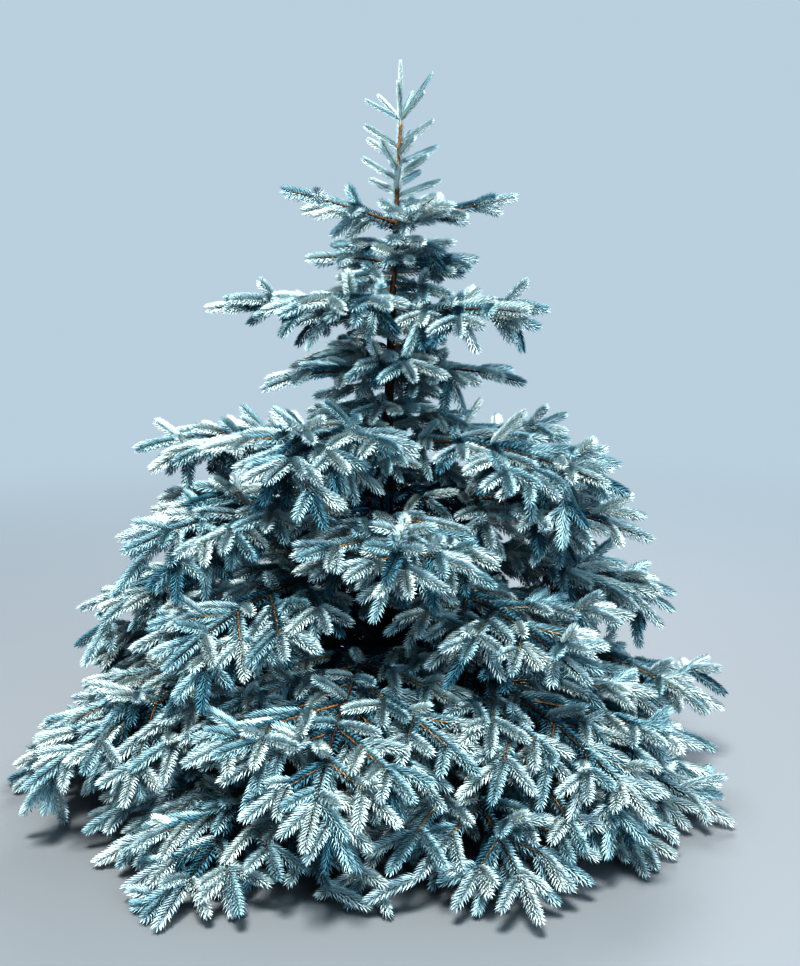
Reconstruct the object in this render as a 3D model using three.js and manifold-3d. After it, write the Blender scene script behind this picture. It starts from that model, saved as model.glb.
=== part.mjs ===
// A young blue spruce, rooted in the ground: a whole trunk that runs up through the crown, tiers of limbs,
// and masses of needled twigs. Each mass branches by one seeded rule, and its sprays are toothed blades.
// Millimetres, +Z up, origin at the middle of the flat cut under the trunk, front towards -Y.
import * as THREE from "three";
import { mergeVertices } from "three/addons/utils/BufferGeometryUtils.js";
import Module from "manifold-3d";

const wasm = await Module();
wasm.setup();

// Driving dimensions, in millimetres and degrees
const CLEARANCE = 0.3; // between two pieces that meet
const APART = 3; // between the foliage of two masses
const GROUND_GAP = 8; // the lowest that foliage comes to the ground
const KNOT = 60; // twigs of one mass that leave it this near each other may run together
const TREE_HEIGHT = 2180;
const TRUNK_HEIGHT = 2000; // the leading shoot grows on from here
const TRUNK_LEAN = 52; // how far the trunk's tip stands to the right of its foot
const TRUNK_LEAN_POWER = 2.2; // most of the lean is near the tip
const TRUNK_BOW = 8;
const TRUNK_FOOT_RADIUS = 31;
const TRUNK_TIP_RADIUS = 4.5;
const TRUNK_TAPER = 1.15; // power of the taper from foot to tip
const FLARE = 15; // root flare at the cut, and the height over which it fades
const FLARE_FADE = 42;
const FLARE_LOBES = 5;
const FLARE_LOBE_SHARE = 0.4;
const CROWN_SKEW = 0.08; // the crown's foot reaches further towards its front left by this share
const CROWN_SKEW_TOWARDS = 238;

// Branching: a limb grows a year's length at a time, and each year ends in a knot with a pair of side twigs
const YEAR = 130;
const LATERAL_SHARE = 0.86; // a side twig's length, as a share of what is left of its limb
const SHADE_SHARE = 0.18; // the most that it gets at the limb's shaded root, as a share of the limb
const SHADE_GAIN = 0.5; // and how much more at the limb's tip
const LATERAL_ANGLE = 48;
const LATERAL_ANGLE_SPREAD = 6;
const LATERAL_LENGTH_SPREAD = 0.12;
const LATERAL_LIFT = 0.2; // how far its heading may leave the plane of the limb, up or down
const LATERAL_SAG = 0.13; // how far its tip sinks, as a share of its length
const INNERMOST = 0.2; // share of a limb that its first side twigs stand at
const STAGGER = 8; // the two twigs of a pair stand this far before and past their knot
const TWIG_TIP_RADIUS = 2.8;
const TWIG_TAPER = 160; // length over which a side twig grows 1 mm thicker in radius

// A spray: the last two years' growth of a twig, with its side shoots
const SPRAY_LENGTH = 240;
const SPRAY_WIDTH = 200;
const SPRAY_WIDTH_SPREAD = 0.08;
const SPRAY_DEPTH = 16;
const SPRAY_ROLL = 0.16; // radians that it may be turned about its own length
const SPRAY_SINK = 12; // how deep its root sits in its twig
const LEAST_TWIG = 345; // a side twig shorter than this is a spray alone
const FULL_SPRAY = 0.95; // share of the whole length from which a spray has all its side shoots
const SPRAY_SEED = 7;

// Tiers of limbs, from the ground up. level is where they leave the trunk, and vary how far above or below
// it they may stand. reach is how far their tips stand from the trunk, rise the angle at which they leave
// it, and fall how far below its root a tip has sunk. turn is the heading of the first, seen from above.
const TIERS = [
  { name: "skirt", count: 7, level: 205, vary: 35, reach: 1105, rise: 9, fall: 180, turn: 31, radius: 14 },
  { name: "low", count: 7, level: 415, vary: 40, reach: 1060, rise: 11, fall: 190, turn: 5, radius: 12 },
  { name: "middle", count: 6, level: 635, vary: 45, reach: 940, rise: 13, fall: 85, turn: 62, radius: 10 },
  { name: "high", count: 6, level: 840, vary: 45, reach: 845, rise: 14, fall: 35, turn: 34, radius: 9 },
  { name: "shoulder", count: 5, level: 1060, vary: 45, reach: 765, rise: 14, fall: 35, turn: 30, radius: 8 },
  { name: "waist", count: 5, level: 1265, vary: 40, reach: 415, rise: 12, fall: 15, turn: 62, radius: 5.5 },
  { name: "upper", count: 5, level: 1425, vary: 28, reach: 530, rise: 13, fall: -40, turn: 30, radius: 7 },
  { name: "neck", count: 4, level: 1600, vary: 42, reach: 270, rise: 12, fall: -15, turn: 20, radius: 4.5 },
  { name: "top", count: 5, level: 1702, vary: 14, reach: 350, rise: 20, fall: -85, turn: 356, radius: 5 },
];
const BOUGHED = "skirt"; // the limbs of this tier begin as bare boughs, and other masses stand on the trunk
const BARE = 0.22; // share of such a limb that is bare
const TURN_SPREAD = 7;
const RISE_SPREAD = 4;
const REACH_SPREAD = 0.05;
const COLLAR_SHARE = 0.05; // share of a limb that is tried against the trunk to find where it starts
const COLLAR_SIDES = 5;
const COLLAR_TRIES = 3;
const BOUGH_SIDES = 6;
const BOUGH_STEPS = 3;
const STEM_SIDES = 3;
const STEM_STEP = 170; // length of each straight stretch of a stem

// The leader: side shoots round the top of the trunk on a sleeve of needle-clad bark, and the leading shoot
// with its whorl, which grows on from the trunk's tip.
const SLEEVE_FROM = 1775;
const SLEEVE_TO = 1962;
const SLEEVE_WALL = 3.2;
const SLEEVE_SIDES = 8;
const SLEEVE_MARGIN = 12; // bare length of the sleeve above and below its shoots
const SLEEVE_SHOOTS = 14;
const SLEEVE_SEED = 901;
const SIDE_SHOOT = { length: 112, width: 34, rise: 26 };
const SIDE_SHOOT_SPREAD = { length: 0.15, rise: 8, roll: 0.4 };
const WHORL = [
  { azimuth: 8, rise: 55, length: 160 },
  { azimuth: 68, rise: 44, length: 125 },
  { azimuth: 128, rise: 36, length: 130 },
  { azimuth: 176, rise: 28, length: 112 },
  { azimuth: 255, rise: 76, length: 105 },
  { azimuth: 318, rise: 38, length: 110 },
];
const WHORL_WIDTH = 28;
const LEADING_SHOOT = { width: 24, depth: 22, radius: 4.2, stem: 0.3 };
const GOLDEN_ANGLE = 137.5;

const NEEDLE_BLUE = "#a9c3cf";
const BARK_BROWN = "#5a4537";
const TWIG_BROWN = "#8a6038";

const UP = new THREE.Vector3(0, 0, 1);
const NORTH = new THREE.Vector3(0, 1, 0);
const rad = THREE.MathUtils.degToRad;
const mix = THREE.MathUtils.lerp;

const DICE_FACTOR = 16807;
const DICE_MODULUS = 2147483647;
const DICE_STIR = 7919;

// Throws the same numbers, from 0 to 1, for the same seed.
class Dice {
  constructor(seed) {
    this.state = ((seed * DICE_STIR) % (DICE_MODULUS - 1)) + 1;
    this.roll();
    this.roll();
  }
  roll() {
    this.state = (this.state * DICE_FACTOR) % DICE_MODULUS;
    return this.state / DICE_MODULUS;
  }
  around(spread) {
    return spread * (2 * this.roll() - 1);
  }
}

// A seed of its own for each twig of a limb
const childSeed = (seed, index) => (seed * 131 + index * 17 + 5) % 1000003;

function heading(azimuth, rise) {
  const a = rad(azimuth);
  const e = rad(rise);
  return new THREE.Vector3(Math.cos(a) * Math.cos(e), Math.sin(a) * Math.cos(e), Math.sin(e));
}

// A closed mesh as a solid, with its faces turned outwards.
function solidOf(geometry) {
  const bare = new THREE.BufferGeometry()
    .setAttribute("position", geometry.attributes.position)
    .setIndex(geometry.index);
  const merged = mergeVertices(bare, 1e-4);
  const corners = merged.index.array;
  const faces = [];
  for (let i = 0; i < corners.length; i += 3) {
    const [a, b, c] = corners.slice(i, i + 3);
    if (a !== b && b !== c && c !== a) faces.push(a, b, c);
  }
  const mesh = { numProp: 3, vertProperties: merged.attributes.position.array };
  const made = new wasm.Manifold(new wasm.Mesh({ ...mesh, triVerts: new Uint32Array(faces) }));
  if (made.volume() > 0) return made;
  return new wasm.Manifold(new wasm.Mesh({ ...mesh, triVerts: new Uint32Array(faces.reverse()) }));
}

function geometryOf(solid) {
  const mesh = solid.getMesh();
  return new THREE.BufferGeometry()
    .setAttribute("position", new THREE.BufferAttribute(mesh.vertProperties, 3))
    .setIndex(new THREE.BufferAttribute(mesh.triVerts, 1));
}

// Side and upward directions across a limb that runs along a direction.
const STEEP = 0.95;
function acrossOf(along) {
  const reference = Math.abs(along.z) > STEEP ? NORTH : UP;
  const side = along.clone().cross(reference).normalize();
  return { side, over: side.clone().cross(along) };
}

// A tapering limb along the stretch of a curve between two shares of it.
function limb(curve, from, to, rootRadius, tipRadius, sides, steps) {
  const geometry = new THREE.CylinderGeometry(1, 1, 1, sides, steps);
  const points = geometry.attributes.position;
  for (let i = 0; i < points.count; i++) {
    const share = points.getY(i) + 0.5;
    const t = mix(from, to, share);
    const radius = mix(rootRadius, tipRadius, share);
    const { side, over } = acrossOf(curve.getTangent(t));
    const place = curve
      .getPoint(t)
      .addScaledVector(side, points.getX(i) * radius)
      .addScaledVector(over, points.getZ(i) * radius);
    points.setXYZ(i, place.x, place.y, place.z);
  }
  return solidOf(geometry);
}

// Outlines of a spray: [share of its length, share of its width] of each notch and tooth on one side. Each
// tooth is a side shoot, and the leading shoot stands between them.
const bothSides = (side) => [[0, 0], ...side, [1, 0], ...side.toReversed().map(([s, w]) => [s, -w])];
const FIVE_SHOOTS = bothSides([
  [0.27, 0.1],
  [0.63, 0.5],
  [0.49, 0.17],
  [0.87, 0.33],
  [0.73, 0.11],
]);
const THREE_SHOOTS = bothSides([
  [0.3, 0.16],
  [0.74, 0.5],
  [0.58, 0.14],
]);
const ONE_SHOOT = bothSides([
  [0.34, 0.5],
  [0.4, 0.34],
  [0.72, 0.42],
]);
const RIDGE = 0.2; // where along its length a spray is thickest

// A toothed blade from root to tip: a turned double cone whose rim is drawn out into teeth.
function blade(root, tip, rim, width, depth, tilt) {
  const profile = [new THREE.Vector2(0, -1), new THREE.Vector2(1, 0), new THREE.Vector2(0, 1)];
  const geometry = new THREE.LatheGeometry(profile, rim.length);
  const points = geometry.attributes.position;
  const length = root.distanceTo(tip);
  const along = tip.clone().sub(root).normalize();
  const { side, over } = acrossOf(along);
  side.applyAxisAngle(along, tilt);
  over.applyAxisAngle(along, tilt);
  for (let i = 0; i < points.count; i++) {
    const height = points.getY(i);
    const [share, out] = height === 0 ? rim[Math.floor(i / profile.length) % rim.length] : [RIDGE, 0];
    const place = root
      .clone()
      .addScaledVector(along, share * length)
      .addScaledVector(side, out * width)
      .addScaledVector(over, (height * depth) / 2);
    points.setXYZ(i, place.x, place.y, place.z);
  }
  return solidOf(geometry);
}

// A limb's centre line: it leaves its root along a heading, and its tip has sunk below that line.
function arc(root, towards, length, sink) {
  const lift = (point) => {
    point.z = Math.max(point.z, GROUND_GAP + SPRAY_DEPTH);
    return point;
  };
  const middle = lift(root.clone().addScaledVector(towards, length / 2));
  const end = lift(root.clone().addScaledVector(towards, length).addScaledVector(UP, -sink));
  return new THREE.QuadraticBezierCurve3(root, middle, end);
}

// The trunk
const trunkCentre = (z) =>
  new THREE.Vector3(
    TRUNK_LEAN * (z / TRUNK_HEIGHT) ** TRUNK_LEAN_POWER,
    TRUNK_BOW * Math.sin((Math.PI * z) / TRUNK_HEIGHT),
    z,
  );

function trunkRadius(z, angle) {
  const taper = (1 - z / TRUNK_HEIGHT) ** TRUNK_TAPER;
  const lobes = 1 + FLARE_LOBE_SHARE * Math.cos(FLARE_LOBES * angle);
  const flare = FLARE * Math.exp(-z / FLARE_FADE) * lobes;
  return TRUNK_TIP_RADIUS + (TRUNK_FOOT_RADIUS - TRUNK_TIP_RADIUS) * taper + flare;
}

function trunk() {
  const sides = 14;
  const rings = 12;
  const crowding = 1.7; // rings stand closer in the root flare
  const geometry = new THREE.CylinderGeometry(1, 1, 1, sides, rings);
  const points = geometry.attributes.position;
  for (let i = 0; i < points.count; i++) {
    const z = TRUNK_HEIGHT * (points.getY(i) + 0.5) ** crowding;
    const angle = Math.atan2(points.getZ(i), points.getX(i));
    const out = Math.hypot(points.getX(i), points.getZ(i)) * trunkRadius(z, angle);
    const centre = trunkCentre(z);
    points.setXYZ(i, centre.x + out * Math.cos(angle), centre.y + out * Math.sin(angle), z);
  }
  return solidOf(geometry);
}

// Every accepted piece, so that no other grows through it
const placed = [];

const boxesMeet = (a, b, gap) =>
  [0, 1, 2].every((i) => a.min[i] - gap < b.max[i] && b.min[i] - gap < a.max[i]);

// Keeps a piece if it stays above the ground and clear of all the others, apart from the one that it grows
// from and those that leave the same knot.
function accept(solid, node, root, parent) {
  const box = solid.boundingBox();
  if (box.min[2] < GROUND_GAP) return null;
  const blocked = placed.some((other) => {
    if (other === parent || !boxesMeet(box, other.box, APART)) return false;
    if (other.node === node && other.root.distanceTo(root) < KNOT) return false;
    const gap = other.node === node || other.node === "trunk" ? CLEARANCE : APART;
    return solid.minGap(other.solid, gap) < gap;
  });
  if (blocked) return null;
  return place(solid, node, root);
}

function place(solid, node, root = new THREE.Vector3()) {
  const piece = { solid, node, root, box: solid.boundingBox() };
  placed.push(piece);
  return piece;
}

// A limb of a tier, as a centre line that starts clear of the trunk. The start is found by measuring the gap
// between a collar round it and the trunk.
function makeArm(tier, index, trunkPiece) {
  const seed = TIERS.indexOf(tier) * 100 + index + 1;
  const dice = new Dice(seed);
  const azimuth = tier.turn + (360 * index) / tier.count + dice.around(TURN_SPREAD);
  const level = tier.level + tier.vary * ((index % 2 ? 0.5 : -0.5) + dice.around(0.5));
  const fade = 1 - level / TRUNK_HEIGHT;
  const skew = 1 + CROWN_SKEW * fade * Math.cos(rad(azimuth - CROWN_SKEW_TOWARDS));
  const reach = tier.reach * skew * (1 + dice.around(REACH_SPREAD));
  const slope = Math.tan(rad(tier.rise + dice.around(RISE_SPREAD)));
  const out = heading(azimuth, 0);
  const centre = trunkCentre(level);
  const curveFrom = (distance) => {
    const start = centre.clone().addScaledVector(out, distance);
    const end = centre.clone().addScaledVector(out, reach);
    end.z = Math.max(level - tier.fall, GROUND_GAP + SPRAY_DEPTH);
    const half = (reach - distance) / 2;
    const middle = start.clone().addScaledVector(out, half).addScaledVector(UP, slope * half);
    return new THREE.QuadraticBezierCurve3(start, middle, end);
  };
  let distance = trunkRadius(level, 0) + tier.radius;
  for (let tries = 0; tries < COLLAR_TRIES; tries++) {
    const curve = curveFrom(distance);
    const collar = limb(curve, 0, COLLAR_SHARE, tier.radius, tier.radius, COLLAR_SIDES, 1);
    distance -= collar.minGap(trunkPiece.solid, distance) - CLEARANCE;
  }
  const curve = curveFrom(distance);
  return { tier, seed, name: tier.name + "_" + (index + 1), curve, length: curve.getLength() };
}

// The side twigs of a limb past a share of it. left counts the years of growth between a twig's knot and the
// limb's tip.
function* sideTwigs(curve, length, from, seed) {
  const years = Math.max(1, Math.round(length / YEAR));
  for (let year = 1; year < years; year++) {
    if (year / years < from) continue;
    for (const hand of [-1, 1]) {
      const t = year / years + (hand * STAGGER) / length;
      const own = childSeed(seed, year * 2 + (hand > 0 ? 1 : 0));
      const dice = new Dice(own);
      const along = curve.getTangent(t);
      const { side, over } = acrossOf(along);
      const angle = rad(LATERAL_ANGLE + dice.around(LATERAL_ANGLE_SPREAD));
      const towards = along
        .multiplyScalar(Math.cos(angle))
        .addScaledVector(side, hand * Math.sin(angle))
        .addScaledVector(over, dice.around(LATERAL_LIFT))
        .normalize();
      const share = Math.min(LATERAL_SHARE * (1 - t), SHADE_SHARE + SHADE_GAIN * t);
      const reach = share * length * (1 + dice.around(LATERAL_LENGTH_SPREAD));
      yield { left: years - year, towards, length: reach, seed: own, root: curve.getPoint(t) };
    }
  }
}

// The spray at the end of a twig. A twig shorter than the least is a spray from its root on.
function sprayOn(curve, length, dice) {
  const reach = length < LEAST_TWIG ? length : SPRAY_LENGTH;
  const size = reach / SPRAY_LENGTH;
  const root = curve.getPoint(1 - reach / length);
  const rim = size > FULL_SPRAY ? FIVE_SHOOTS : THREE_SHOOTS;
  const width = SPRAY_WIDTH * size * (1 + dice.around(SPRAY_WIDTH_SPREAD));
  const roll = dice.around(SPRAY_ROLL);
  return { root, solid: blade(root, curve.getPoint(1), rim, width, SPRAY_DEPTH, roll) };
}

// Joins the accepted pieces of a node, and drops a scrap that came loose.
function fuse(name) {
  const pieces = placed.filter((piece) => piece.node === name).map((piece) => piece.solid);
  const bodies = wasm.Manifold.union(pieces).decompose();
  return bodies.sort((a, b) => b.volume() - a.volume())[0];
}

// The bough, where the limb has one, and the stem of its mass, which meets it
function growStem(arm) {
  const { tier, curve, length, name } = arm;
  const joint = tier.name === BOUGHED ? BARE : 0;
  const jointRadius = mix(tier.radius, TWIG_TIP_RADIUS, joint);
  if (joint > 0) {
    const bough = limb(curve, 0, joint, tier.radius, jointRadius, BOUGH_SIDES, BOUGH_STEPS);
    place(bough, name + "_bough");
  }
  const from = joint > 0 ? joint + CLEARANCE / length : 0;
  const to = 1 - (SPRAY_LENGTH - SPRAY_SINK) / length;
  const steps = Math.max(1, Math.round(((to - from) * length) / STEM_STEP));
  const stem = limb(curve, from, to, jointRadius, TWIG_TIP_RADIUS, STEM_SIDES, steps);
  arm.stem = place(stem, name + "_needles");
}

// The twigs of an arm, each with the sprays that it will carry. Only every second year's side twigs are
// grown, and the broad sprays stand for the rest.
function growTwigs(arm) {
  const node = arm.name + "_needles";
  arm.sprays = [{ curve: arm.curve, length: arm.length, parent: arm.stem }];
  for (const twig of sideTwigs(arm.curve, arm.length, INNERMOST, arm.seed)) {
    if (twig.left % 2 === 1) continue;
    const curve = arc(twig.root, twig.towards, twig.length, twig.length * LATERAL_SAG);
    if (twig.length < LEAST_TWIG) {
      arm.sprays.push({ curve, length: twig.length, parent: arm.stem });
      continue;
    }
    const to = 1 - (SPRAY_LENGTH - SPRAY_SINK) / twig.length;
    const radius = TWIG_TIP_RADIUS + twig.length / TWIG_TAPER;
    const stem = limb(curve, 0, to, radius, TWIG_TIP_RADIUS, STEM_SIDES, 1);
    const piece = accept(stem, node, twig.root, arm.stem);
    if (!piece) continue;
    arm.sprays.push({ curve, length: twig.length, parent: piece });
    for (const side of sideTwigs(curve, twig.length, 0, twig.seed)) {
      if (side.left % 2 === 1) continue;
      const length = Math.min(side.length, SPRAY_LENGTH);
      const bend = arc(side.root, side.towards, length, length * LATERAL_SAG);
      arm.sprays.push({ curve: bend, length, parent: piece });
    }
  }
}

function growSprays(arm) {
  const dice = new Dice(arm.seed + SPRAY_SEED);
  for (const { curve, length, parent } of arm.sprays) {
    const { root, solid } = sprayOn(curve, length, dice);
    accept(solid, arm.name + "_needles", root, parent);
  }
}

// A ring of needle-clad bark round the leader, clear of it, with side shoots all round
function leaderFoliage() {
  const foot = trunkRadius(SLEEVE_FROM, 0) + CLEARANCE * 2;
  const head = trunkRadius(SLEEVE_TO, 0) + CLEARANCE * 2;
  const across = 1 / Math.cos(Math.PI / SLEEVE_SIDES);
  const profile = [
    [foot * across, SLEEVE_FROM],
    [foot * across + SLEEVE_WALL, SLEEVE_FROM],
    [head * across + SLEEVE_WALL, SLEEVE_TO],
    [head * across, SLEEVE_TO],
    [foot * across, SLEEVE_FROM],
  ].map(([r, z]) => new THREE.Vector2(r, z));
  const geometry = new THREE.LatheGeometry(profile, SLEEVE_SIDES);
  geometry.rotateX(Math.PI / 2);
  const points = geometry.attributes.position;
  for (let i = 0; i < points.count; i++) {
    const centre = trunkCentre(points.getZ(i));
    points.setXYZ(i, points.getX(i) + centre.x, points.getY(i) + centre.y, points.getZ(i));
  }
  const sleeve = place(solidOf(geometry), "leader_needles");
  const dice = new Dice(SLEEVE_SEED);
  for (let i = 0; i < SLEEVE_SHOOTS; i++) {
    const share = (i + 0.5) / SLEEVE_SHOOTS;
    const z = mix(SLEEVE_FROM + SLEEVE_MARGIN, SLEEVE_TO - SLEEVE_MARGIN, share);
    const out = heading(i * GOLDEN_ANGLE, SIDE_SHOOT.rise + dice.around(SIDE_SHOOT_SPREAD.rise));
    const inWall = mix(foot, head, share) * across + SLEEVE_WALL / 4;
    const root = trunkCentre(z).addScaledVector(heading(i * GOLDEN_ANGLE, 0), inWall);
    const length = SIDE_SHOOT.length * (1 + dice.around(SIDE_SHOOT_SPREAD.length));
    const tip = root.clone().addScaledVector(out, length);
    const roll = dice.around(SIDE_SHOOT_SPREAD.roll);
    const shoot = blade(root, tip, ONE_SHOOT, SIDE_SHOOT.width, SPRAY_DEPTH, roll);
    accept(shoot, "leader_needles", root, sleeve);
  }
}

// The leading shoot and the whorl round its foot
function crownTip() {
  const { width, depth, radius, stem: stemShare } = LEADING_SHOOT;
  const foot = trunkCentre(TRUNK_HEIGHT).addScaledVector(UP, CLEARANCE);
  const top = new THREE.Vector3(foot.x, foot.y, TREE_HEIGHT);
  const curve = new THREE.LineCurve3(foot, top);
  const stem = place(limb(curve, 0, stemShare, radius, TWIG_TIP_RADIUS, BOUGH_SIDES, 1), "tip_needles");
  const root = foot.clone().addScaledVector(UP, SPRAY_SINK);
  accept(blade(root, top, ONE_SHOOT, width, depth, 0), "tip_needles", root, stem);
  for (const { azimuth, rise, length } of WHORL) {
    const tip = root.clone().addScaledVector(heading(azimuth, rise), length);
    accept(blade(root, tip, ONE_SHOOT, WHORL_WIDTH, SPRAY_DEPTH, 0), "tip_needles", root, stem);
  }
}

const trunkPiece = place(trunk(), "trunk");
crownTip();
leaderFoliage();
const arms = TIERS.flatMap((tier) =>
  Array.from({ length: tier.count }, (_, index) => makeArm(tier, index, trunkPiece)),
);
arms.forEach(growStem);
arms.forEach(growTwigs);
arms.forEach(growSprays);

const materials = {
  needles: new THREE.MeshStandardMaterial({ color: NEEDLE_BLUE, roughness: 0.6, metalness: 0 }),
  bough: new THREE.MeshStandardMaterial({ color: TWIG_BROWN, roughness: 0.85, metalness: 0 }),
  trunk: new THREE.MeshStandardMaterial({ color: BARK_BROWN, roughness: 0.9, metalness: 0 }),
};

const tree = new THREE.Group();
for (const name of new Set(placed.map((piece) => piece.node))) {
  const mesh = new THREE.Mesh(geometryOf(fuse(name)), materials[name.split("_").at(-1)]);
  mesh.name = name;
  tree.add(mesh);
}

export default tree;
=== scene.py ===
# A young blue spruce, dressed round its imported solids: bark on the trunk and limbs, and twigs, bud scales
# and needles that grow on by the rule that shaped the solids. Metres, +Z up, front towards -Y.
import math
from collections import namedtuple
from functools import lru_cache

import bmesh
import bpy
import numpy as np
from bpy.props import FloatProperty, FloatVectorProperty, PointerProperty
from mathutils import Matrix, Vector, noise


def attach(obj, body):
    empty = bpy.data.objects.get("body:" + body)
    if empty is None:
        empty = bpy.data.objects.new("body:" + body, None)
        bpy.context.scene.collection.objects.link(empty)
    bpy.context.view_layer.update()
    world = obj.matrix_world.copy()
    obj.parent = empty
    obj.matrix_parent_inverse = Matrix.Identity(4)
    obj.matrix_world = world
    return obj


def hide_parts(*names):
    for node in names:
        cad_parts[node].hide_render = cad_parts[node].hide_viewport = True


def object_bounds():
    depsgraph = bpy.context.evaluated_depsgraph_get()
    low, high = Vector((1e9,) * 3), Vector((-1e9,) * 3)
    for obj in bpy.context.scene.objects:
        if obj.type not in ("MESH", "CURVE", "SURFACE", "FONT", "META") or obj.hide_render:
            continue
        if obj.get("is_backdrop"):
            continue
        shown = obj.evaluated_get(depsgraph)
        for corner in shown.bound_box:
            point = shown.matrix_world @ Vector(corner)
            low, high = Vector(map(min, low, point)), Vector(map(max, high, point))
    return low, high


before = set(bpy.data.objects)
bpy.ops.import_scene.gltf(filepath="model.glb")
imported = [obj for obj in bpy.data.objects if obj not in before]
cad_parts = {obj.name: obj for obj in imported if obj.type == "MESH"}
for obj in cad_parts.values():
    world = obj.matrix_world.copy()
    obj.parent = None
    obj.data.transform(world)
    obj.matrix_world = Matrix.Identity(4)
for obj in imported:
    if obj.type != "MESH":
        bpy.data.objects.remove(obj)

bl_info = {
    "name": "Blue spruce",
    "version": (1, 0, 0),
    "blender": (4, 5, 0),
    "location": "View3D > Sidebar > Spruce",
    "description": "Dresses a young blue spruce in bark, twigs, bud scales and needles",
    "category": "Add Mesh",
}

CAD_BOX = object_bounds()
MM = 0.001

# The growth rule of the solids, with the same values
GROUND_GAP = 8 * MM
TRUNK_HEIGHT = 2000 * MM
TREE_HEIGHT = CAD_BOX[1].z
TRUNK_LEAN = 52 * MM
TRUNK_LEAN_POWER = 2.2
TRUNK_BOW = 8 * MM
TRUNK_FOOT_RADIUS = 31 * MM
TRUNK_TIP_RADIUS = 4.5 * MM
TRUNK_TAPER = 1.15
FLARE = 15 * MM
FLARE_FADE = 42 * MM
FLARE_LOBES = 5
FLARE_LOBE_SHARE = 0.4
CROWN_SKEW = 0.08
CROWN_SKEW_TOWARDS = 238
YEAR = 130 * MM
LATERAL_SHARE = 0.86
SHADE_SHARE = 0.18
SHADE_GAIN = 0.5
LATERAL_ANGLE = 48
LATERAL_ANGLE_SPREAD = 6
LATERAL_LENGTH_SPREAD = 0.12
LATERAL_LIFT = 0.2
LATERAL_SAG = 0.13
INNERMOST = 0.2
STAGGER = 8 * MM
TWIG_TAPER = 160
SPRAY_LENGTH = 240 * MM
SPRAY_DEPTH = 16 * MM
TURN_SPREAD = 7
RISE_SPREAD = 4
REACH_SPREAD = 0.05
GOLDEN_ANGLE = 137.5
SLEEVE_FROM = 1775 * MM
SLEEVE_TO = 1962 * MM
SLEEVE_MARGIN = 12 * MM
SLEEVE_SHOOTS = 14
SLEEVE_SEED = 901
SIDE_SHOOT_LENGTH = 112 * MM
SIDE_SHOOT_RISE = 26
SIDE_SHOOT_LENGTH_SPREAD = 0.15
SIDE_SHOOT_RISE_SPREAD = 8
WHORL_FOOT = TRUNK_HEIGHT + 12 * MM
# Heading, rise and length in millimetres of each shoot round the foot of the leading shoot
WHORL = ((8, 55, 160), (68, 44, 125), (128, 36, 130), (176, 28, 112), (255, 76, 105), (318, 38, 110))

# The tiers of limbs, from the ground up, in millimetres and degrees
Tier = namedtuple("Tier", "name count level vary reach rise fall turn radius")
TIERS = (
    Tier("skirt", 7, 205, 35, 1105, 9, 180, 31, 14),
    Tier("low", 7, 415, 40, 1060, 11, 190, 5, 12),
    Tier("middle", 6, 635, 45, 940, 13, 85, 62, 10),
    Tier("high", 6, 840, 45, 845, 14, 35, 34, 9),
    Tier("shoulder", 5, 1060, 45, 765, 14, 35, 30, 8),
    Tier("waist", 5, 1265, 40, 415, 12, 15, 62, 5.5),
    Tier("upper", 5, 1425, 28, 530, 13, -40, 30, 7),
    Tier("neck", 4, 1600, 42, 270, 12, -15, 20, 4.5),
    Tier("top", 5, 1702, 14, 350, 20, -85, 356, 5),
)

UP = Vector((0, 0, 1))
NORTH = Vector((0, 1, 0))
STEEP = 0.95

DICE_FACTOR = 16807
DICE_MODULUS = 2147483647
DICE_STIR = 7919
SEED_FACTOR = 131
SEED_STEP = 17
SEED_SHIFT = 5
SEED_MODULUS = 1000003


def linear(colour):
    """A hex sRGB colour as linear red, green and blue."""
    channels = [int(colour[i : i + 2], 16) / 255 for i in (1, 3, 5)]
    return tuple(c / 12.92 if c <= 0.04045 else ((c + 0.055) / 1.055) ** 2.4 for c in channels)


def mix(a, b, t):
    return a + (b - a) * t


def heading(azimuth, rise):
    a, e = math.radians(azimuth), math.radians(rise)
    return Vector((math.cos(a) * math.cos(e), math.sin(a) * math.cos(e), math.sin(e)))


class Dice:
    """Throws the same numbers, from 0 to 1, for the same seed, as the solids' dice do."""

    def __init__(self, seed):
        self.state = (seed * DICE_STIR) % (DICE_MODULUS - 1) + 1
        self.roll()
        self.roll()

    def roll(self):
        self.state = (self.state * DICE_FACTOR) % DICE_MODULUS
        return self.state / DICE_MODULUS

    def around(self, spread):
        return spread * (2 * self.roll() - 1)


def child_seed(seed, index):
    return (seed * SEED_FACTOR + index * SEED_STEP + SEED_SHIFT) % SEED_MODULUS


def across_of(along):
    """Side and upward directions across a limb that runs along a direction."""
    side = along.cross(NORTH if abs(along.z) > STEEP else UP).normalized()
    return side, side.cross(along)


def on_curve(root, bend, tip, t):
    """The point at a share t of a quadratic curve, or of each of an array of them."""
    return root * (1 - t) ** 2 + bend * (2 * t * (1 - t)) + tip * t**2


class Arc:
    """A quadratic curve: the centre line of a limb, a twig or a shoot."""

    def __init__(self, root, bend, tip):
        self.root, self.bend, self.tip = root, bend, tip

    def point(self, t):
        return on_curve(self.root, self.bend, self.tip, t)

    def slope(self, t):
        return (self.bend - self.root) * (2 * (1 - t)) + (self.tip - self.bend) * (2 * t)

    def along(self, t):
        return self.slope(t).normalized()

    def part(self, start, end):
        root = self.point(start)
        return Arc(root, root + self.slope(start) * ((end - start) / 2), self.point(end))

    def length(self, steps=200):
        points = [self.point(i / steps) for i in range(steps + 1)]
        return sum((b - a).length for a, b in zip(points, points[1:]))


def arc(root, towards, length, sink):
    """A centre line that leaves its root along a heading, and whose tip has sunk below that line."""
    lowest = GROUND_GAP + SPRAY_DEPTH
    bend = root + towards * (length / 2)
    tip = root + towards * length - UP * sink
    bend.z, tip.z = max(bend.z, lowest), max(tip.z, lowest)
    return Arc(root, bend, tip)


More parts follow.
